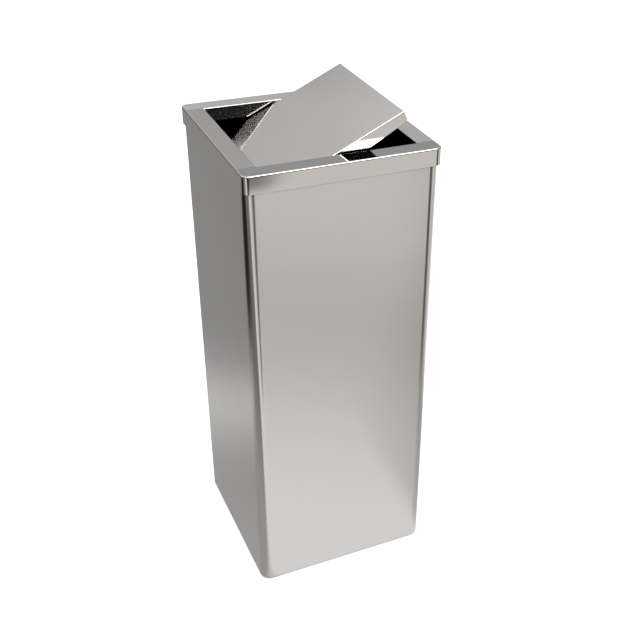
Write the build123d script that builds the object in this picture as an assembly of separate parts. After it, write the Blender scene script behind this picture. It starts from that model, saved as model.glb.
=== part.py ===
from build123d import *
import os

# Flip-lid bin in folded stainless steel sheet. All sizes are in millimetres.
# The origin is on the floor in the middle of the footprint, the front faces -Y and +Z is up.

# Overall size
TOP_HEIGHT = 702.0
BODY_SIDE = 280.0
FOOT_PROUD = 2.0

# Body sheet, its rolled corners and its folded edges
BODY_SHEET = 0.8
BODY_CORNER_R = 17.0
BODY_TOP_BEND_R = 1.6
BODY_FOOT_BEND_R = 3.0
TOP_FLANGE = 12.0
TOP_LIP = 8.0
FOOT_FLANGE = 15.0

# A hidden fold is flat across its curve, by this share of the curve's radius.
FOLD_EASE = 0.59

# Lapped seam in the middle of the back
SEAM_LAP = 14.0
SEAM_GROOVE = 0.4

# Floor pan pressed from one sheet
PAN_SHEET = 0.8
PAN_RIM = 12.0
PAN_BEND_R = 3.0
PAN_CLEARANCE = 0.2
PAN_FIELD_MARGIN = 60.0
PAN_FIELD_R = 20.0
PAN_FIELD_RISE = 5.0
PAN_FIELD_SLOPE = 35.0

# Rubber feet and their rivets
FOOT_SIDE = 26.0
FOOT_CORNER_R = 3.0
FOOT_INSET = 40.0
RIVET_SHANK_R = 2.0
RIVET_HEAD_R = 4.0
RIVET_HEAD_HEIGHT = 1.0
RIVET_RECESS_R = 5.0
RIVET_RECESS_DEPTH = 0.7

# Lid frame of four folded rails
LID_SHEET = 1.0
LID_FIT = 0.4
LID_CORNER_R = 10.0
SKIRT_DEPTH = 25.0
SKIRT_BEND_R = 2.0
RAIL_WIDTH = 27.4
INNER_FLANGE = 20.0
INNER_BEND_R = 1.5
JOINT_GAP = 0.3

# Plates welded under the four butt joints of the frame
JOINT_PLATE_SHEET = 1.2
JOINT_PLATE_LENGTH = 24.0
JOINT_PLATE_CLEARANCE = 1.0
JOINT_PLATE_CORNER_R = 2.5

# Flap, drawn level round its pivot line and then set at the tilt of the rest pose
FLAP_TILT = 25.0
FLAP_SHEET = 1.0
FLAP_END_GAP = 4.0
FLAP_SIDE_GAP = 4.5
FLAP_BEND_R = 1.5
PIVOT_DROP = 10.0
EAR_END_DEPTH = 14.5
EAR_MIDDLE_DEPTH = 20.5
EAR_CORNER_R = 3.0
HEM_RETURN = 8.0
HEM_RELIEF = 2.0

# Plastic bushes in the inner flanges
BUSH_BORE_CLEARANCE = 0.05
BUSH_SEAT_CLEARANCE = 0.05
BUSH_WALL = 1.45
BUSH_PROUD = 1.0
BUSH_FLANGE = 1.5
BUSH_FLANGE_R = 7.5

# Shouldered pivot bolts with their washers and lock nuts
SHOULDER_R = 4.0
END_PLAY = 0.2
BOLT_HEAD_R = 7.0
BOLT_HEAD_HEIGHT = 2.5
BOLT_HEAD_EDGE = 0.5
SOCKET_FLATS = 4.0
SOCKET_DEPTH = 1.6
THREAD_R = 2.5
HOLE_CLEARANCE = 0.1
THREAD_PROUD = 1.2
DRAG_WASHER_R = 6.5
DRAG_WASHER_CLEARANCE = 0.15
SPRING_WASHER = 1.3
SPRING_WASHER_R = 4.6
SPRING_WASHER_SPLIT = 0.8
NUT_FLATS = 8.0
NUT_HEIGHT = 4.7
NUT_COLLAR_R = 3.6
NUT_COLLAR = 1.4

# Heights and half widths that several pieces share
BODY_TOP = TOP_HEIGHT - LID_SHEET
PAN_FLOOR = FOOT_PROUD + BODY_SHEET
PAN_TOP = PAN_FLOOR + PAN_RIM
MOUTH_SIDE = BODY_SIDE - 2 * TOP_FLANGE
MOUTH_CORNER_R = BODY_CORNER_R - TOP_FLANGE
SKIRT_SIDE = BODY_SIDE + 2 * (LID_FIT + LID_SHEET)
APERTURE = SKIRT_SIDE - 2 * RAIL_WIDTH
FLANGE_SIDE = APERTURE + 2 * LID_SHEET
PIVOT_HEIGHT = TOP_HEIGHT - PIVOT_DROP
FLAP_HALF_LENGTH = APERTURE / 2 - FLAP_END_GAP
EAR_FACE = APERTURE / 2 - FLAP_SIDE_GAP
EAR_INSIDE = EAR_FACE - FLAP_SHEET
BUSH_INNER_END = APERTURE / 2 - BUSH_PROUD
BUSH_OUTER_END = FLANGE_SIDE / 2 + BUSH_FLANGE
BUSH_BORE_R = SHOULDER_R + BUSH_BORE_CLEARANCE
BUSH_BARREL_R = BUSH_BORE_R + BUSH_WALL


def bottom_edges(solid):
    """Edges round the lowest flat face."""
    return solid.faces().filter_by(Axis.Z).sort_by(Axis.Z)[0].outer_wire().edges()


def top_edges(solid):
    """Edges round the highest flat face."""
    return solid.faces().filter_by(Axis.Z).sort_by(Axis.Z)[-1].outer_wire().edges()


def square_block(side, corner_r, low, high):
    """Upright block of square plan with rounded vertical corners."""
    return Pos(0, 0, low) * extrude(RectangleRounded(side, side, corner_r), high - low)


def box_between(low, high):
    """Box from its lowest to its highest corner."""
    size = [b - a for a, b in zip(low, high)]
    return Pos(*low) * Box(*size, align=(Align.MIN, Align.MIN, Align.MIN))


def body_shell():
    """One sheet wrapped to a square tube, flanged inwards at both ends and lapped at the back."""
    tube = square_block(BODY_SIDE, BODY_CORNER_R, FOOT_PROUD, BODY_TOP)
    tube = chamfer(top_edges(tube), FOLD_EASE * BODY_TOP_BEND_R)
    tube = fillet(bottom_edges(tube), BODY_FOOT_BEND_R)

    inside_side = BODY_SIDE - 2 * BODY_SHEET
    inside_r = BODY_CORNER_R - BODY_SHEET
    hollow = square_block(inside_side, inside_r, PAN_FLOOR, BODY_TOP - BODY_SHEET)
    hollow = chamfer(top_edges(hollow), FOLD_EASE * (BODY_TOP_BEND_R - BODY_SHEET))
    hollow = chamfer(bottom_edges(hollow), FOLD_EASE * (BODY_FOOT_BEND_R - BODY_SHEET))

    # The lip hangs from the inner edge of the top flange and stiffens the mouth.
    lip_side = MOUTH_SIDE + 2 * BODY_SHEET
    lip_r = MOUTH_CORNER_R + BODY_SHEET
    lip = square_block(lip_side, lip_r, BODY_TOP - TOP_LIP, BODY_TOP)
    mouth = square_block(MOUTH_SIDE, MOUTH_CORNER_R, BODY_TOP - 2 * TOP_LIP, BODY_TOP + TOP_LIP)
    foot_hole_side = BODY_SIDE - 2 * FOOT_FLANGE
    foot_hole = square_block(foot_hole_side, BODY_CORNER_R, 0, PAN_FLOOR + BODY_FOOT_BEND_R)
    shell = tube - (hollow - lip) - mouth - foot_hole

    # The lap doubles the wall from just above the pan to the top flange.
    wall = BODY_SIDE / 2 - BODY_SHEET
    lap = box_between(
        (0, wall - BODY_SHEET, PAN_TOP + PAN_CLEARANCE), (SEAM_LAP, wall, BODY_TOP - BODY_SHEET)
    )
    groove = box_between(
        (-SEAM_GROOVE, BODY_SIDE / 2 - SEAM_GROOVE, FOOT_PROUD + BODY_FOOT_BEND_R),
        (0, BODY_SIDE / 2 + SEAM_GROOVE, BODY_TOP - BODY_TOP_BEND_R),
    )
    return shell + lap - groove


def foot_places():
    """Name and centre of each foot."""
    half = BODY_SIDE / 2 - FOOT_INSET
    for row, y in (("front", -half), ("back", half)):
        for side, x in (("left", -half), ("right", half)):
            yield f"{row}_{side}", x, y


def base_pan():
    """Floor pan with an upturned rim and a raised field, punched for the rivets."""
    side = BODY_SIDE - 2 * (BODY_SHEET + PAN_CLEARANCE)
    corner_r = BODY_CORNER_R - BODY_SHEET - PAN_CLEARANCE
    outside = square_block(side, corner_r, PAN_FLOOR, PAN_TOP)
    outside = chamfer(bottom_edges(outside), FOLD_EASE * PAN_BEND_R)
    inside_side = side - 2 * PAN_SHEET
    inside = square_block(inside_side, corner_r - PAN_SHEET, PAN_FLOOR + PAN_SHEET, PAN_TOP)
    inside = chamfer(bottom_edges(inside), FOLD_EASE * (PAN_BEND_R - PAN_SHEET))

    field_side = BODY_SIDE - 2 * PAN_FIELD_MARGIN
    field_outline = RectangleRounded(field_side, field_side, PAN_FIELD_R)
    field = extrude(field_outline, PAN_FIELD_RISE, taper=PAN_FIELD_SLOPE)
    pan = outside - inside
    pan += Pos(0, 0, PAN_FLOOR + PAN_SHEET) * field
    pan -= Pos(0, 0, PAN_FLOOR) * field
    for _, x, y in foot_places():
        hole_r = RIVET_SHANK_R + HOLE_CLEARANCE
        pan -= Pos(x, y, PAN_FLOOR) * Cylinder(hole_r, 4 * PAN_SHEET)
    return pan


def foot(x, y):
    """Rubber pad under the pan, recessed below for the head of its rivet."""
    base = (Align.CENTER, Align.CENTER, Align.MIN)
    pad = square_block(FOOT_SIDE, FOOT_CORNER_R, 0, PAN_FLOOR)
    pad -= Cylinder(RIVET_RECESS_R, RIVET_RECESS_DEPTH + RIVET_HEAD_HEIGHT, align=base)
    pad -= Cylinder(RIVET_SHANK_R + HOLE_CLEARANCE, PAN_FLOOR, align=base)
    return Pos(x, y, 0) * pad


def foot_rivets():
    """Four rivets, each with a head in its foot and a closing head on the pan."""
    base = (Align.CENTER, Align.CENTER, Align.MIN)
    head_top = RIVET_RECESS_DEPTH + RIVET_HEAD_HEIGHT
    pan_face = PAN_FLOOR + PAN_SHEET
    head = Pos(0, 0, RIVET_RECESS_DEPTH) * Cylinder(RIVET_HEAD_R, RIVET_HEAD_HEIGHT, align=base)
    shank = Pos(0, 0, head_top) * Cylinder(RIVET_SHANK_R, pan_face - head_top, align=base)
    closing = Pos(0, 0, pan_face) * Cylinder(RIVET_HEAD_R, RIVET_HEAD_HEIGHT, align=base)
    closing = chamfer(top_edges(closing), RIVET_HEAD_HEIGHT / 2)
    rivet = head + shank + closing
    return Compound([Pos(x, y, 0) * rivet for _, x, y in foot_places()])


def lid_cap():
    """The lid frame as one folded cap, before it is cut into its four rails."""
    skirt_low = TOP_HEIGHT - SKIRT_DEPTH
    underside = TOP_HEIGHT - LID_SHEET
    cap = square_block(SKIRT_SIDE, LID_CORNER_R, skirt_low, TOP_HEIGHT)
    cap = fillet(top_edges(cap), SKIRT_BEND_R)
    channel_side = SKIRT_SIDE - 2 * LID_SHEET
    channel = square_block(channel_side, LID_CORNER_R - LID_SHEET, skirt_low, underside)
    channel = chamfer(top_edges(channel), FOLD_EASE * (SKIRT_BEND_R - LID_SHEET))
    half = FLANGE_SIDE / 2
    core = box_between((-half, -half, TOP_HEIGHT - INNER_FLANGE), (half, half, TOP_HEIGHT))
    cap -= channel - core
    half = APERTURE / 2
    cap -= box_between((-half, -half, skirt_low), (half, half, TOP_HEIGHT))
    mouth_wire = cap.faces().filter_by(Axis.Z).sort_by(Axis.Z)[-1].inner_wires()[0]
    return fillet(mouth_wire.edges(), INNER_BEND_R)


def pivot_disc(radius, start, stop):
    """Round bar on the pivot line, between two distances in front of the middle."""
    line = Plane(origin=(0, -start, 0), x_dir=(1, 0, 0), z_dir=(0, -1, 0))
    return line * Cylinder(radius, stop - start, align=(Align.CENTER, Align.CENTER, Align.MIN))


def pivot_hex(flats, start, stop):
    """Six-sided bar on the pivot line, with its size across flats."""
    line = Plane(origin=(0, -start, 0), x_dir=(1, 0, 0), z_dir=(0, -1, 0))
    outline = RegularPolygon(flats / 2, 6, major_radius=False)
    return extrude(line * outline, stop - start, dir=(0, -1, 0))


def lid_rails():
    """The four rails: front and back run the full width and the sides butt between them."""
    cap = lid_cap()
    reach = SKIRT_SIDE
    edge = APERTURE / 2
    seat_r = BUSH_BARREL_R + BUSH_SEAT_CLEARANCE
    seat = Pos(0, 0, PIVOT_HEIGHT) * pivot_disc(seat_r, edge - LID_SHEET, FLANGE_SIDE / 2 + LID_SHEET)
    front = cap & box_between((-reach, -reach, 0), (reach, -edge, 2 * TOP_HEIGHT))
    front -= seat
    joint = edge - JOINT_GAP
    left = cap & box_between((-reach, -joint, 0), (-edge, joint, 2 * TOP_HEIGHT))
    half_turn = Rot(0, 0, 180)
    return {
        "front_rail": front,
        "back_rail": half_turn * front,
        "left_rail": left,
        "right_rail": half_turn * left,
    }


def joint_plates():
    """Small plates that bridge the four butt joints from below, clear of the body's mouth."""
    inner = FLANGE_SIDE / 2 + JOINT_PLATE_CLEARANCE
    outer = MOUTH_SIDE / 2 - JOINT_PLATE_CLEARANCE
    outline = RectangleRounded(outer - inner, JOINT_PLATE_LENGTH, JOINT_PLATE_CORNER_R)
    plate = extrude(outline, JOINT_PLATE_SHEET)
    low = TOP_HEIGHT - LID_SHEET - JOINT_PLATE_SHEET
    for row, y in (("front", -APERTURE / 2), ("back", APERTURE / 2)):
        for side, sign in (("left", -1), ("right", 1)):
            yield f"joint_plate_{row}_{side}", Pos(sign * (inner + outer) / 2, y, low) * plate


def bush():
    """Flanged bush, pushed into the inner flange of its rail from the hidden side."""
    barrel = pivot_disc(BUSH_BARREL_R, BUSH_INNER_END, BUSH_OUTER_END)
    flange = pivot_disc(BUSH_FLANGE_R, FLANGE_SIDE / 2, BUSH_OUTER_END)
    return barrel + flange - pivot_disc(BUSH_BORE_R, BUSH_INNER_END, BUSH_OUTER_END)


def flap_plate():
    """Level plate with front and back edges folded down into ears, and both ends hemmed under."""
    half = FLAP_HALF_LENGTH
    ear_end = PIVOT_DROP - EAR_END_DEPTH
    ear_middle = PIVOT_DROP - EAR_MIDDLE_DEPTH
    lower = ThreePointArc((-half, ear_end), (0, ear_middle), (half, ear_end))
    upper = Polyline((half, ear_end), (half, PIVOT_DROP), (-half, PIVOT_DROP), (-half, ear_end))
    outline = Plane.XZ * make_face((lower + upper).edges())
    block = extrude(outline, EAR_FACE, both=True)
    corners = block.edges().filter_by(Axis.Y).group_by(Axis.Z)[0]
    block = fillet(corners, EAR_CORNER_R)
    folds = block.edges().filter_by(Axis.X).group_by(Axis.Z)[-1]
    block = fillet(folds, FLAP_BEND_R)

    underside = PIVOT_DROP - FLAP_SHEET
    hollow = box_between((-2 * half, -EAR_INSIDE, -2 * EAR_MIDDLE_DEPTH), (2 * half, EAR_INSIDE, underside))
    inner_folds = hollow.edges().filter_by(Axis.X).group_by(Axis.Z)[-1]
    plate = block - fillet(inner_folds, FLAP_BEND_R - FLAP_SHEET)

    hem_half = EAR_INSIDE - HEM_RELIEF
    hem_low = underside - FLAP_SHEET
    for sign in (-1, 1):
        start, stop = sorted((sign * half, sign * (half - HEM_RETURN)))
        hem = box_between((start, -hem_half, hem_low), (stop, hem_half, underside))
        plate += hem
    hole_r = THREAD_R + HOLE_CLEARANCE
    return plate - pivot_disc(hole_r, -2 * EAR_FACE, 2 * EAR_FACE)


def pivot_bolt():
    """Bolt whose shoulder runs in the bush and whose thread clamps the ear."""
    head_start = BUSH_OUTER_END + END_PLAY
    head_stop = head_start + BOLT_HEAD_HEIGHT
    thread_stop = EAR_INSIDE - SPRING_WASHER - NUT_HEIGHT - THREAD_PROUD
    head = pivot_disc(BOLT_HEAD_R, head_start, head_stop)
    rim = head.edges().filter_by(GeomType.CIRCLE).sort_by(Axis.Y)[0]
    head = chamfer(rim, BOLT_HEAD_EDGE)
    shoulder = pivot_disc(SHOULDER_R, EAR_FACE, head_start)
    thread = pivot_disc(THREAD_R, thread_stop, EAR_FACE)
    socket = pivot_hex(SOCKET_FLATS, head_stop - SOCKET_DEPTH, head_stop)
    return head + shoulder + thread - socket


def drag_washer():
    """Plastic washer between ear and bush: its drag holds the flap where it is put."""
    stop = BUSH_INNER_END - END_PLAY
    washer = pivot_disc(DRAG_WASHER_R, EAR_FACE, stop)
    return washer - pivot_disc(SHOULDER_R + DRAG_WASHER_CLEARANCE, EAR_FACE, stop)


def spring_washer():
    """Split washer between the inside of the ear and the lock nut."""
    start = EAR_INSIDE - SPRING_WASHER
    ring = pivot_disc(SPRING_WASHER_R, start, EAR_INSIDE)
    ring -= pivot_disc(THREAD_R + HOLE_CLEARANCE, start, EAR_INSIDE)
    half_split = SPRING_WASHER_SPLIT / 2
    split = box_between((-half_split, -EAR_INSIDE, 0), (half_split, -start, 2 * SPRING_WASHER_R))
    return ring - split


def lock_nut():
    """Hexagon nut with a round locking collar, facing the middle of the flap."""
    stop = EAR_INSIDE - SPRING_WASHER
    start = stop - NUT_HEIGHT
    nut = pivot_hex(NUT_FLATS, start + NUT_COLLAR, stop)
    nut += pivot_disc(NUT_COLLAR_R, start, start + NUT_COLLAR)
    return nut - pivot_disc(THREAD_R + HOLE_CLEARANCE / 2, start, stop)


def pivot_pair(name, piece, place):
    """The same piece at the front and, turned about, at the back."""
    return {f"{name}_front": place * piece, f"{name}_back": place * Rot(0, 0, 180) * piece}


def all_pieces():
    """Every piece of the bin in its place, by name."""
    level = Pos(0, 0, PIVOT_HEIGHT)
    tilted = Location((0, 0, PIVOT_HEIGHT), (0, -FLAP_TILT, 0))
    pieces = {"body_shell": body_shell(), "base_pan": base_pan()}
    for name, x, y in foot_places():
        pieces[f"foot_{name}"] = foot(x, y)
    pieces["foot_rivets"] = foot_rivets()
    pieces.update(lid_rails())
    pieces.update(joint_plates())
    pieces.update(pivot_pair("bush", bush(), level))
    pieces["flap_plate"] = tilted * flap_plate()
    pieces.update(pivot_pair("pivot_bolt", pivot_bolt(), tilted))
    pieces.update(pivot_pair("drag_washer", drag_washer(), tilted))
    pieces.update(pivot_pair("spring_washer", spring_washer(), tilted))
    pieces.update(pivot_pair("lock_nut", lock_nut(), tilted))
    return pieces


os.makedirs("parts", exist_ok=True)
for node, piece in all_pieces().items():
    export_step(piece, f"parts/{node}.step")
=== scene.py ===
import math

import bpy
from mathutils import Matrix, Vector

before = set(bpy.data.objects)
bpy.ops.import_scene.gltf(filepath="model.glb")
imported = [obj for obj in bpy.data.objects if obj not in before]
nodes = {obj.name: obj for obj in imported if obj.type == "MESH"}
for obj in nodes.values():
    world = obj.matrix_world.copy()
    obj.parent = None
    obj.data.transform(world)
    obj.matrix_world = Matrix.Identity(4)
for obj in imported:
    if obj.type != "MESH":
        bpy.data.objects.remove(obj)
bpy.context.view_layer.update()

# Half the width of the body, from its mesh in the model
WALL_HALF = nodes["body_shell"].dimensions.x / 2

# Parts of a place or a normal, and what a value runs to over its range
X, Y, Z = range(3)
RISING = (0.0, 1.0)
FALLING = (1.0, 0.0)

ORIGIN = Vector((0.0, 0.0, 0.0))
UP = Vector((0.0, 0.0, 1.0))
WHITE = (1.0, 1.0, 1.0)

# Camera, from the perspective of the photograph: place in metres, angles in degrees. The picture is a crop
# whose centre lies beside the camera's axis.
CAMERA_PLACE = Vector((-0.4925, -1.2761, 1.2161))
CAMERA_AZIMUTH = 27.31
CAMERA_ELEVATION = 32.59
CAMERA_ROLL = 2.49
FRAME_PIXELS = 640
FOCAL_PIXELS = 1018.4
CENTRE_RIGHT_PIXELS = 83.64
CENTRE_DOWN_PIXELS = 23.84
SENSOR_MM = 36.0

# Linear colours
STEEL = (0.63, 0.615, 0.60)
PLAIN_STEEL = (0.50, 0.495, 0.485)
# Painted shade for the inside of the body and for its base pan
PAINTED_INSIDE_SHADE = (0.015, 0.015, 0.015)
RUBBER = (0.02, 0.02, 0.021)
NYLON = (0.62, 0.60, 0.54)

# Roughness of the satin body sheet, of the polished lid and flap, and of the smaller pieces
BODY_ROUGHNESS = 0.13
LID_ROUGHNESS = 0.06
HARDWARE_ROUGHNESS = 0.32
PAN_ROUGHNESS = 0.4
RUBBER_ROUGHNESS = 0.7
NYLON_ROUGHNESS = 0.45

# All noises: how much their finer layers count, and the range that most of their values lie in
LAYER_SHARE = 0.55
NOISE_RANGE = (0.3, 0.7)

# Grain of the sheet. Along its own direction it is drawn out, its scale there being this share.
GRAIN_STRETCH = 0.012
GRAIN_SCALE = 1500.0
GRAIN_DETAIL = 3.0
GRAIN_BUMP = 0.35
GRAIN_DEPTH = 0.00002
GRAIN_SHADE = 0.97
GRAIN_POLISH = 0.12
ANISOTROPY = 0.4
ALONG_X = (GRAIN_STRETCH, 1.0, 1.0)
ALONG_Y = (1.0, GRAIN_STRETCH, 1.0)
ALONG_Z = (1.0, 1.0, GRAIN_STRETCH)
NO_GRAIN = (1.0, 1.0, 1.0)

# Broad waves: their height in the polished lid and in the body sheet, and how the polish changes with them
WAVE_SCALE = 5.0
WAVE_DETAIL = 2.0
WAVE_BUMP = 0.5
WAVE_POLISH = 0.15
LID_WAVE = 0.002
BODY_WAVE = 0.003

# Handling marks, which are rougher by this much where their noise is high
MARK_SCALE = 46.0
MARK_DETAIL = 5.0
MARK_RANGE = (0.62, 0.78)
MARK_ROUGHNESS = 0.03

# Rubber and plastic: changes in colour and roughness, and a finer relief
MOULD_SCALE = 60.0
MOULD_DETAIL = 3.0
MOULD_SHADES = (0.85, 1.1)
MOULD_POLISH = 0.06
RELIEF_SCALE = 900.0
RELIEF_DETAIL = 2.0
RELIEF_BUMP = 0.2
RELIEF_DEPTH = 0.00005

# Limits for one part of a face's normal: it looks up over the first two and forwards under the third, and
# the upward part of a wall stays under the last two.
RAIL_LOOKS_UP = 0.99
FLAP_LOOKS_UP = 0.5
LOOKS_FORWARD = -0.9
UPRIGHT_WALL = 0.1
ANY_WALL = 0.9

# The tops of the rails are dished towards the opening by this slope, too little for the shape but not for
# what they mirror.
DISH_SLOPE = 0.10

# The front skirt springs out a little under its bend, most at its left end: heights, and places along X.
CURL_SLOPE = 0.085
CURL_HEIGHTS = (0.650, 0.692)
CURL_FADE = (-0.13, -0.04)
CURL_LEAST = 0.25

# The walls of the body belly out a little: their normals spread by this slope towards the corners.
BELLY_SLOPE = 0.03

# The raised end of the flap is crowned from front to back: slope of its normals per metre, and the places
# along X where it sets in
CROWN_SLOPE = 0.5
CROWN_START = (0.0, 0.07)

# Painted shade darkens the body where the skirt of the lid hangs close over it, within this reach: by how
# much of the air around a point is open, and to this share of its colour
CONTACT_REACH = 0.008
CONTACT_SAMPLES = 8
CONTACT_RANGE = (0.35, 0.95)
PAINTED_CONTACT_SHADE = 0.20

# The lip of the body hangs above this height, and the painted shade of the inside is below it.
INSIDE_TOP = 0.691

# Floor: how far it reaches, how far it lies under the feet, and its tone in the picture
FLOOR_HALF = 12.0
FLOOR_DROP = 0.0002
FLOOR_TONE = (0.80, 0.80, 0.80)
FLOOR_GLOW = 0.55

# Painted light on the floor, which the steel mirrors: tones by the distance towards the front right, in
# metres
FLOOR_FRONT = Vector((0.5, -0.87, 0.0))
FLOOR_REACH = 2.0
FLOOR_TONES = (
    (-1.9, (0.32, 0.32, 0.32)),
    (-0.85, (0.33, 0.33, 0.33)),
    (-0.58, (0.33, 0.33, 0.33)),
    (-0.42, (0.74, 0.74, 0.74)),
    (-0.26, (0.36, 0.36, 0.36)),
    (-0.05, (0.44, 0.44, 0.44)),
    (0.18, (0.465, 0.465, 0.462)),
    (0.5, (0.395, 0.39, 0.385)),
    (0.85, (0.275, 0.267, 0.258)),
    (1.3, (0.373, 0.36, 0.347)),
    (1.9, (0.382, 0.364, 0.347)),
)

# A bent line runs over the floor from the body's front left corner. The floor has painted light on its
# right, and on its left painted shade that darkens with the distance from the corner.
CORNER = Vector((-WALL_HALF, -WALL_HALF, 0.0))
CORNER_ALONG = Vector((-0.55, -0.83, 0.0))
CORNER_ACROSS = Vector((0.83, -0.55, 0.0))
CORNER_BEND = 0.31
PALE_EDGE = (-0.01, 0.03)
PALE_GAIN = 2.25
SHADE_ALONG = (0.12, 0.5)
SHADE_SHARE = 0.5

# The floor's painted light fades to dark far off, and a round painted shadow lies left of the bin.
DARKEST = 0.10
FAR_DARK = (2.05, 3.2)
LEFT_DARK_PLACE = Vector((-1.35, 0.25, 0.0))
LEFT_DARK_RADII = (0.35, 0.85)

# A wedge of painted shade darkens the floor right of the bin, and it turns pale again beyond it.
RIGHT_SIDE = Vector((0.8, 0.6, 0.0))
RIGHT_START = (0.0, 0.20)
RIGHT_DARK = (-0.22, 0.20)
RIGHT_PALE = (0.28, 0.60)
RIGHT_DARKEST = 0.52

# Painted shadows of two dark stands, which are not in the scene, lie on the floor in these directions,
# wider with the square of the distance.
STANDS = (Vector((-0.36, -0.93, 0.0)), Vector((0.73, -0.68, 0.0)))
STAND_WIDTH = (0.055, 0.15)
STAND_START = (0.55, 0.95)
STAND_DARKEST = 0.25

# What the steel mirrors of the room: darker at the level of the eye, darkest along the horizon in front
ROOM_LOW = (0.235, 0.235, 0.24)
ROOM_HIGH = WHITE
ROOM_FULL_HEIGHT = 0.82
ROOM_RIGHT = (-0.2, 0.45)
ROOM_RIGHT_TONE = (0.94, 0.94, 0.94)
FRONT_DARK = (0.15, 0.75)
FRONT_DARK_HEIGHTS = (0.46, 0.56)
FRONT_DARK_SIDES = (0.42, 0.62)
FRONT_DARK_TONE = (0.004, 0.004, 0.004)

# One large soft light in front of the bin and above it
LIGHT_PLACE = Vector((0.45, -2.05, 2.95))
LIGHT_AIM = Vector((0.0, 0.0, 0.7))
LIGHT_SIZE = (3.2, 1.85)
LIGHT_WATTS = 95.0

# Colour sockets of the Mix node, and where a new stop of a colour ramp starts before it is placed
MIX_FIRST = 6
MIX_SECOND = 7
MIX_RESULT = 2
NEW_STOP = 0.5


class Kit:
    """Adds and links the shader nodes of one node tree."""

    def __init__(self, tree):
        self.tree = tree
        self.tree.nodes.clear()

    def add(self, kind, *feeds, **values):
        """Add a node, feed its first inputs in their order, and set inputs or settings by name."""
        node = self.tree.nodes.new(kind)
        for name, value in values.items():
            if name in node.inputs:
                node.inputs[name].default_value = value
            else:
                setattr(node, name, value)
        for socket, value in zip(node.inputs, feeds):
            self.feed(socket, value)
        return node

    def feed(self, socket, value):
        """Link another node's output to the socket, or write a plain value in it."""
        if isinstance(value, bpy.types.NodeSocket):
            self.tree.links.new(value, socket)
        elif isinstance(value, tuple) and len(value) == 3 and socket.type == "RGBA":
            socket.default_value = (*value, 1.0)
        else:
            socket.default_value = value

    def math(self, operation, first, second=0.0):
        return self.add("ShaderNodeMath", first, second, operation=operation).outputs[0]

    def times(self, first, *others):
        """Product of all the values."""
        product = first
        for value in others:
            product = self.math("MULTIPLY", product, value)
        return product

    def vectors(self, operation, *vectors):
        return self.add("ShaderNodeVectorMath", *vectors, operation=operation).outputs

    def dot(self, first, second):
        return self.vectors("DOT_PRODUCT", first, second)["Value"]

    def distance(self, first, second):
        return self.vectors("DISTANCE", first, second)["Value"]

    def split(self, vector):
        return self.add("ShaderNodeSeparateXYZ", vector).outputs

    def remap(self, value, source, target, smooth=False):
        """Map the source range to the target range, and hold the value at its ends."""
        node = self.add("ShaderNodeMapRange", interpolation_type="SMOOTHSTEP" if smooth else "LINEAR")
        self.feed(node.inputs["Value"], value)
        node.inputs["From Min"].default_value, node.inputs["From Max"].default_value = source
        node.inputs["To Min"].default_value, node.inputs["To Max"].default_value = target
        return node.outputs["Result"]

    def mix(self, factor, first, second, blend="MIX"):
        node = self.add("ShaderNodeMix", factor, data_type="RGBA", blend_type=blend)
        self.feed(node.inputs[MIX_FIRST], first)
        self.feed(node.inputs[MIX_SECOND], second)
        return node.outputs[MIX_RESULT]

    def noise(self, vector, scale, detail, stretch=NO_GRAIN):
        mapping = self.add("ShaderNodeMapping", vector, Scale=stretch)
        noise = self.add("ShaderNodeTexNoise", Scale=scale, Detail=detail, Roughness=LAYER_SHARE)
        self.feed(noise.inputs["Vector"], mapping.outputs["Vector"])
        return noise.outputs["Fac"]

    def bump(self, height, strength, distance, normal=None):
        node = self.add("ShaderNodeBump", Strength=strength, Distance=distance)
        self.feed(node.inputs["Height"], height)
        if normal:
            self.feed(node.inputs["Normal"], normal)
        return node.outputs["Normal"]

    def tones(self, value, stops):
        """Smooth run of colours through the given stops, whose positions are from 0 to 1."""
        node = self.add("ShaderNodeValToRGB", value)
        node.color_ramp.interpolation = "B_SPLINE"
        elements = node.color_ramp.elements
        while len(elements) < len(stops):
            elements.new(NEW_STOP)
        for element, (position, colour) in zip(elements, stops):
            element.position = position
            element.color = (*colour, 1.0)
        return node.outputs["Color"]

    def to_camera(self):
        """1 where the camera looks straight at the surface, and 0 in reflections and for light."""
        return self.add("ShaderNodeLightPath").outputs["Is Camera Ray"]

    def finish(self, shader, kind="ShaderNodeOutputMaterial"):
        output = self.add(kind)
        self.feed(output.inputs["Surface"], shader)


def new_material(name):
    material = bpy.data.materials.new(name)
    material.use_nodes = True
    return material, Kit(material.node_tree)


def shaded(colour, share):
    return tuple(channel * share for channel in colour)


def lean(kit, normal, slopes):
    """Lean the normal along the three axes by the slopes given."""
    slant = kit.add("ShaderNodeCombineXYZ", *slopes).outputs[0]
    together = kit.vectors("ADD", normal, slant)[0]
    return kit.vectors("NORMALIZE", together)[0]


def place_and_facing(kit):
    """Place of the point, and the way its face looks, each split into X, Y and Z."""
    shape = kit.add("ShaderNodeNewGeometry")
    return kit.split(shape.outputs["Position"]), kit.split(shape.outputs["True Normal"])


def curl(kit, place, facing):
    """Upward slope of the front skirt's normals, largest under its bend and at its left end."""
    forward = kit.math("LESS_THAN", facing[Y], LOOKS_FORWARD)
    in_front = kit.math("LESS_THAN", place[Y], -WALL_HALF)
    height = kit.remap(place[Z], CURL_HEIGHTS, RISING, smooth=True)
    width = kit.remap(place[X], CURL_FADE, (1.0, CURL_LEAST), smooth=True)
    return kit.times(height, width, forward, in_front, CURL_SLOPE)


def dish(kit, normal, axis):
    """Lean a rail's top towards the opening along the axis, and the head of the front skirt upwards."""
    place, facing = place_and_facing(kit)
    upward = kit.math("GREATER_THAN", facing[Z], RAIL_LOOKS_UP)
    slopes = [0.0, 0.0, curl(kit, place, facing)]
    slopes[axis] = kit.times(kit.math("SIGN", place[axis]), upward, -DISH_SLOPE)
    return lean(kit, normal, slopes)


def dish_along_x(kit, normal):
    """Dish of the left and right rails, whose slope lies along X."""
    return dish(kit, normal, X)


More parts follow.
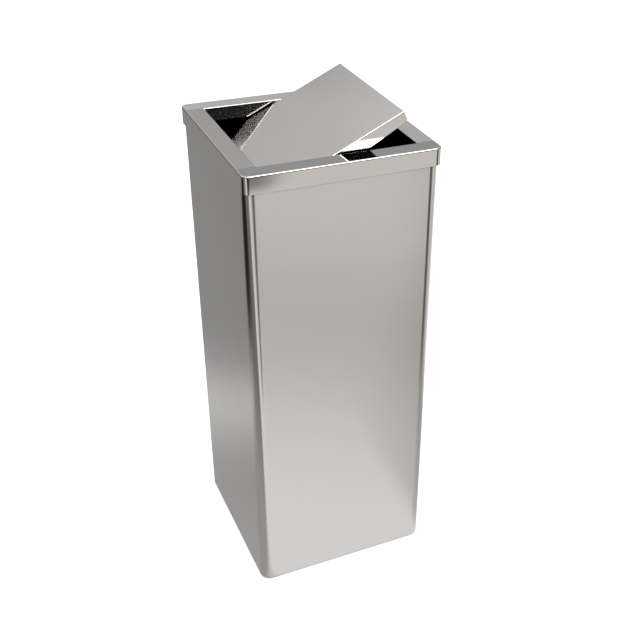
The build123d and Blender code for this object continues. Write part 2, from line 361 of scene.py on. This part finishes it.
def dish_along_y(kit, normal):
    """Dish of the front and back rails, whose slope lies along Y."""
    return dish(kit, normal, Y)


def belly(kit, normal):
    """Spread the normals of the upright walls towards the corners."""
    place, facing = place_and_facing(kit)
    upright = kit.math("LESS_THAN", kit.math("ABSOLUTE", facing[Z]), UPRIGHT_WALL)
    spread = kit.times(upright, BELLY_SLOPE / WALL_HALF)
    return lean(kit, normal, [kit.times(place[X], spread), kit.times(place[Y], spread), 0.0])


def crown(kit, normal):
    """Lean the normals of the flap's top outwards from its middle, to the front and to the back."""
    place, facing = place_and_facing(kit)
    upward = kit.math("GREATER_THAN", facing[Z], FLAP_LOOKS_UP)
    away = kit.remap(place[X], CROWN_START, (0.0, CROWN_SLOPE), smooth=True)
    return lean(kit, normal, [0.0, kit.times(place[Y], away, upward), 0.0])


def uneven_polish(kit, roughness, lines, broad, marks):
    """Roughness that changes with the waves and the grain, and is higher in the handling marks."""
    by_wave = WAVE_POLISH * roughness
    by_grain = GRAIN_POLISH * roughness
    polish = kit.remap(broad, NOISE_RANGE, (roughness - by_wave, roughness + by_wave))
    polish = kit.math("ADD", polish, kit.remap(lines, NOISE_RANGE, (-by_grain, by_grain)))
    return kit.math("ADD", polish, kit.remap(marks, MARK_RANGE, (0.0, MARK_ROUGHNESS), smooth=True))


def painted_body_shade(kit, colour, base):
    """Paint shade on the inside of the body under its lip, and on its outside close under the lid's skirt.
    """
    shape = kit.add("ShaderNodeNewGeometry")
    place = shape.outputs["Position"]
    facing = shape.outputs["True Normal"]
    inwards = kit.math("LESS_THAN", kit.dot(facing, place), 0.0)
    wall = kit.math("LESS_THAN", kit.math("ABSOLUTE", kit.split(facing)[Z]), ANY_WALL)
    below = kit.math("LESS_THAN", kit.split(place)[Z], INSIDE_TOP)
    base = kit.mix(kit.times(inwards, wall, below), base, PAINTED_INSIDE_SHADE)
    # Painted contact shade under the lid's skirt
    contact = kit.add("ShaderNodeAmbientOcclusion", samples=CONTACT_SAMPLES, Distance=CONTACT_REACH)
    clear = kit.remap(contact.outputs["AO"], CONTACT_RANGE, RISING)
    return kit.mix(clear, shaded(colour, PAINTED_CONTACT_SHADE), base)


def steel(name, colour, roughness, grain, shape_normal=None, wave=LID_WAVE, body=False):
    """Stainless sheet: fine grain, broad waves, uneven polish and faint handling marks."""
    material, kit = new_material(name)
    place = kit.add("ShaderNodeTexCoord").outputs["Object"]
    lines = kit.noise(place, GRAIN_SCALE, GRAIN_DETAIL, grain)
    broad = kit.noise(place, WAVE_SCALE, WAVE_DETAIL)
    marks = kit.noise(place, MARK_SCALE, MARK_DETAIL)
    base = kit.mix(kit.remap(lines, NOISE_RANGE, RISING), shaded(colour, GRAIN_SHADE), colour)
    # The body sheet also takes painted shade inside and under the lid's skirt.
    if body:
        base = painted_body_shade(kit, colour, base)
    normal = kit.bump(lines, GRAIN_BUMP * roughness, GRAIN_DEPTH)
    normal = kit.bump(broad, WAVE_BUMP, wave, normal)
    if shape_normal:
        normal = shape_normal(kit, normal)
    shader = kit.add("ShaderNodeBsdfPrincipled", Metallic=1.0, Anisotropic=ANISOTROPY)
    kit.feed(shader.inputs["Base Color"], base)
    kit.feed(shader.inputs["Roughness"], uneven_polish(kit, roughness, lines, broad, marks))
    kit.feed(shader.inputs["Normal"], normal)
    kit.finish(shader.outputs[0])
    return material


def moulded(name, colour, roughness):
    """Rubber or plastic with a fine moulded texture."""
    material, kit = new_material(name)
    place = kit.add("ShaderNodeTexCoord").outputs["Object"]
    broad = kit.noise(place, MOULD_SCALE, MOULD_DETAIL)
    relief = kit.noise(place, RELIEF_SCALE, RELIEF_DETAIL)
    darker, lighter = (shaded(colour, share) for share in MOULD_SHADES)
    polish = kit.remap(broad, NOISE_RANGE, (roughness - MOULD_POLISH, roughness + MOULD_POLISH))
    shader = kit.add("ShaderNodeBsdfPrincipled", Metallic=0.0)
    kit.feed(shader.inputs["Base Color"], kit.mix(broad, darker, lighter))
    kit.feed(shader.inputs["Roughness"], polish)
    kit.feed(shader.inputs["Normal"], kit.bump(relief, RELIEF_BUMP, RELIEF_DEPTH))
    kit.finish(shader.outputs[0])
    return material


def dress(starts, material):
    """Give the material to every CAD node whose name starts so."""
    for name, node in nodes.items():
        if name.startswith(starts):
            node.data.materials.clear()
            node.data.materials.append(material)


def add_materials():
    hardware = ("foot_rivets", "joint_plate", "pivot_bolt", "spring_washer", "lock_nut")
    body_steel = steel("body_steel", STEEL, BODY_ROUGHNESS, ALONG_Z, belly, BODY_WAVE, body=True)
    dress(("foot_front", "foot_back"), moulded("rubber", RUBBER, RUBBER_ROUGHNESS))
    dress(("bush", "drag_washer"), moulded("nylon", NYLON, NYLON_ROUGHNESS))
    dress(hardware, steel("plain_steel", PLAIN_STEEL, HARDWARE_ROUGHNESS, NO_GRAIN))
    # The base pan takes the painted shade of the inside as its colour.
    dress("base_pan", steel("pan_steel", PAINTED_INSIDE_SHADE, PAN_ROUGHNESS, ALONG_X))
    dress("body_shell", body_steel)
    for starts, name, grain, shape_normal in (
        (("front_rail", "back_rail"), "lid_steel_along_x", ALONG_X, dish_along_y),
        (("left_rail", "right_rail"), "lid_steel_along_y", ALONG_Y, dish_along_x),
        ("flap_plate", "flap_steel", ALONG_Y, crown),
    ):
        dress(starts, steel(name, STEEL, LID_ROUGHNESS, grain, shape_normal))


def add_camera():
    """Camera at the photograph's place, with the picture's off-centre crop as a shift."""
    data = bpy.data.cameras.new("camera")
    data.sensor_width = SENSOR_MM
    data.lens = FOCAL_PIXELS / FRAME_PIXELS * SENSOR_MM
    data.shift_x = -CENTRE_RIGHT_PIXELS / FRAME_PIXELS
    data.shift_y = CENTRE_DOWN_PIXELS / FRAME_PIXELS
    camera = bpy.data.objects.new("camera", data)
    turn = Matrix.Rotation(math.radians(-CAMERA_AZIMUTH), 4, "Z")
    tilt = Matrix.Rotation(math.radians(90.0 - CAMERA_ELEVATION), 4, "X")
    roll = Matrix.Rotation(math.radians(CAMERA_ROLL), 4, "Z")
    camera.matrix_world = Matrix.Translation(CAMERA_PLACE) @ turn @ tilt @ roll
    bpy.context.scene.collection.objects.link(camera)
    bpy.context.scene.camera = camera


def right_wedge(kit, place):
    """Shares of painted light: in the wedge of painted shade right of the bin, and on the pale floor
    beyond it.
    """
    before = kit.remap(kit.split(place)[X], RIGHT_START, (-1.0, 0.0), smooth=True)
    sideways = kit.math("ADD", kit.dot(place, RIGHT_SIDE), before)
    wedge = kit.remap(sideways, RIGHT_DARK, (1.0, RIGHT_DARKEST), smooth=True)
    beyond = kit.remap(sideways, RIGHT_PALE, (1.0, 1.0 / RIGHT_DARKEST), smooth=True)
    return wedge, beyond


def corner_line(kit, place):
    """Shares of painted light: in the painted shade left of the bent line from the corner, and on the pale
    floor right of it.
    """
    along = kit.math("SUBTRACT", kit.dot(place, CORNER_ALONG), CORNER.dot(CORNER_ALONG))
    across = kit.math("SUBTRACT", kit.dot(place, CORNER_ACROSS), CORNER.dot(CORNER_ACROSS))
    bent = kit.math("ADD", across, kit.times(along, along, CORNER_BEND))
    right = kit.remap(bent, PALE_EDGE, RISING)
    shade = kit.math("MAXIMUM", kit.remap(along, SHADE_ALONG, (1.0, SHADE_SHARE)), right)
    pale = kit.remap(right, RISING, (1.0, PALE_GAIN))
    return shade, pale


def painted_stand_shadow(kit, place, direction):
    """Share of light left on the floor in the painted shadow of a dark stand, which widens away from the
    bin.
    """
    along = kit.dot(place, direction)
    across = kit.math("ABSOLUTE", kit.dot(place, direction.cross(UP)))
    across = kit.math("DIVIDE", across, kit.times(along, along))
    near = kit.remap(along, STAND_START, FALLING, smooth=True)
    return kit.math("MAXIMUM", kit.remap(across, STAND_WIDTH, (STAND_DARKEST, 1.0), smooth=True), near)


def painted_floor_light(kit):
    """Painted light and shade of the floor as the steel mirrors it: bright at the front, dim at the back
    left.
    """
    place = kit.add("ShaderNodeNewGeometry").outputs["Position"]
    forward = kit.remap(kit.dot(place, FLOOR_FRONT), (-FLOOR_REACH, FLOOR_REACH), RISING)
    stops = [((reach + FLOOR_REACH) / (2 * FLOOR_REACH), tone) for reach, tone in FLOOR_TONES]
    left = kit.remap(kit.distance(place, LEFT_DARK_PLACE), LEFT_DARK_RADII, (DARKEST, 1.0), smooth=True)
    far = kit.remap(kit.distance(place, ORIGIN), FAR_DARK, (1.0, DARKEST), smooth=True)
    stands = [painted_stand_shadow(kit, place, direction) for direction in STANDS]
    share = kit.times(left, far, *right_wedge(kit, place), *corner_line(kit, place), *stands)
    grey = kit.add("ShaderNodeCombineColor", share, share, share)
    return kit.mix(1.0, kit.tones(forward, stops), grey.outputs[0], blend="MULTIPLY")


def floor_material():
    """A light matte floor for the eye, and the painted one for the steel to mirror."""
    material, kit = new_material("floor")
    matte = kit.add("ShaderNodeBsdfDiffuse", Color=(*FLOOR_TONE, 1.0))
    glow = kit.add("ShaderNodeEmission", Strength=FLOOR_GLOW)
    seen = kit.add("ShaderNodeAddShader", matte.outputs[0], glow.outputs[0])
    mirrored = kit.add("ShaderNodeEmission", painted_floor_light(kit))
    switch = kit.add("ShaderNodeMixShader", kit.to_camera(), mirrored.outputs[0], seen.outputs[0])
    kit.finish(switch.outputs[0])
    return material


def add_floor():
    mesh = bpy.data.meshes.new("floor")
    signs = ((-1, -1), (1, -1), (1, 1), (-1, 1))
    corners = [(x * FLOOR_HALF, y * FLOOR_HALF, -FLOOR_DROP) for x, y in signs]
    mesh.from_pydata(corners, [], [(0, 1, 2, 3)])
    mesh.materials.append(floor_material())
    floor = bpy.data.objects.new("floor", mesh)
    bpy.context.scene.collection.objects.link(floor)


def room_tone(kit):
    """Tone of the room as the steel mirrors it, by direction."""
    x, y, z = kit.split(kit.add("ShaderNodeTexCoord").outputs["Generated"])
    tone = kit.mix(kit.remap(z, (0.0, ROOM_FULL_HEIGHT), RISING), ROOM_LOW, ROOM_HIGH)
    tone = kit.mix(kit.remap(x, ROOM_RIGHT, RISING), tone, ROOM_RIGHT_TONE, blend="MULTIPLY")
    forward = kit.remap(kit.times(y, -1.0), FRONT_DARK, RISING, smooth=True)
    low = kit.remap(z, FRONT_DARK_HEIGHTS, FALLING, smooth=True)
    ahead = kit.remap(kit.math("ABSOLUTE", x), FRONT_DARK_SIDES, FALLING, smooth=True)
    return kit.mix(kit.times(low, ahead, forward), tone, FRONT_DARK_TONE)


def add_room():
    """White backdrop for the eye, and a soft grey room for the steel to mirror."""
    world = bpy.data.worlds.new("room")
    world.use_nodes = True
    bpy.context.scene.world = world
    kit = Kit(world.node_tree)
    shade = kit.add("ShaderNodeBackground", kit.mix(kit.to_camera(), room_tone(kit), WHITE))
    kit.finish(shade.outputs[0], "ShaderNodeOutputWorld")


def add_light():
    data = bpy.data.lights.new("soft_light", "AREA")
    data.shape = "RECTANGLE"
    data.size, data.size_y = LIGHT_SIZE
    data.energy = LIGHT_WATTS
    lamp = bpy.data.objects.new("soft_light", data)
    lamp.location = LIGHT_PLACE
    lamp.rotation_euler = (LIGHT_AIM - LIGHT_PLACE).to_track_quat("-Z", "Y").to_euler()
    bpy.context.scene.collection.objects.link(lamp)


add_materials()
add_camera()
add_floor()
add_room()
add_light()
bpy.context.scene.view_settings.view_transform = "Standard"
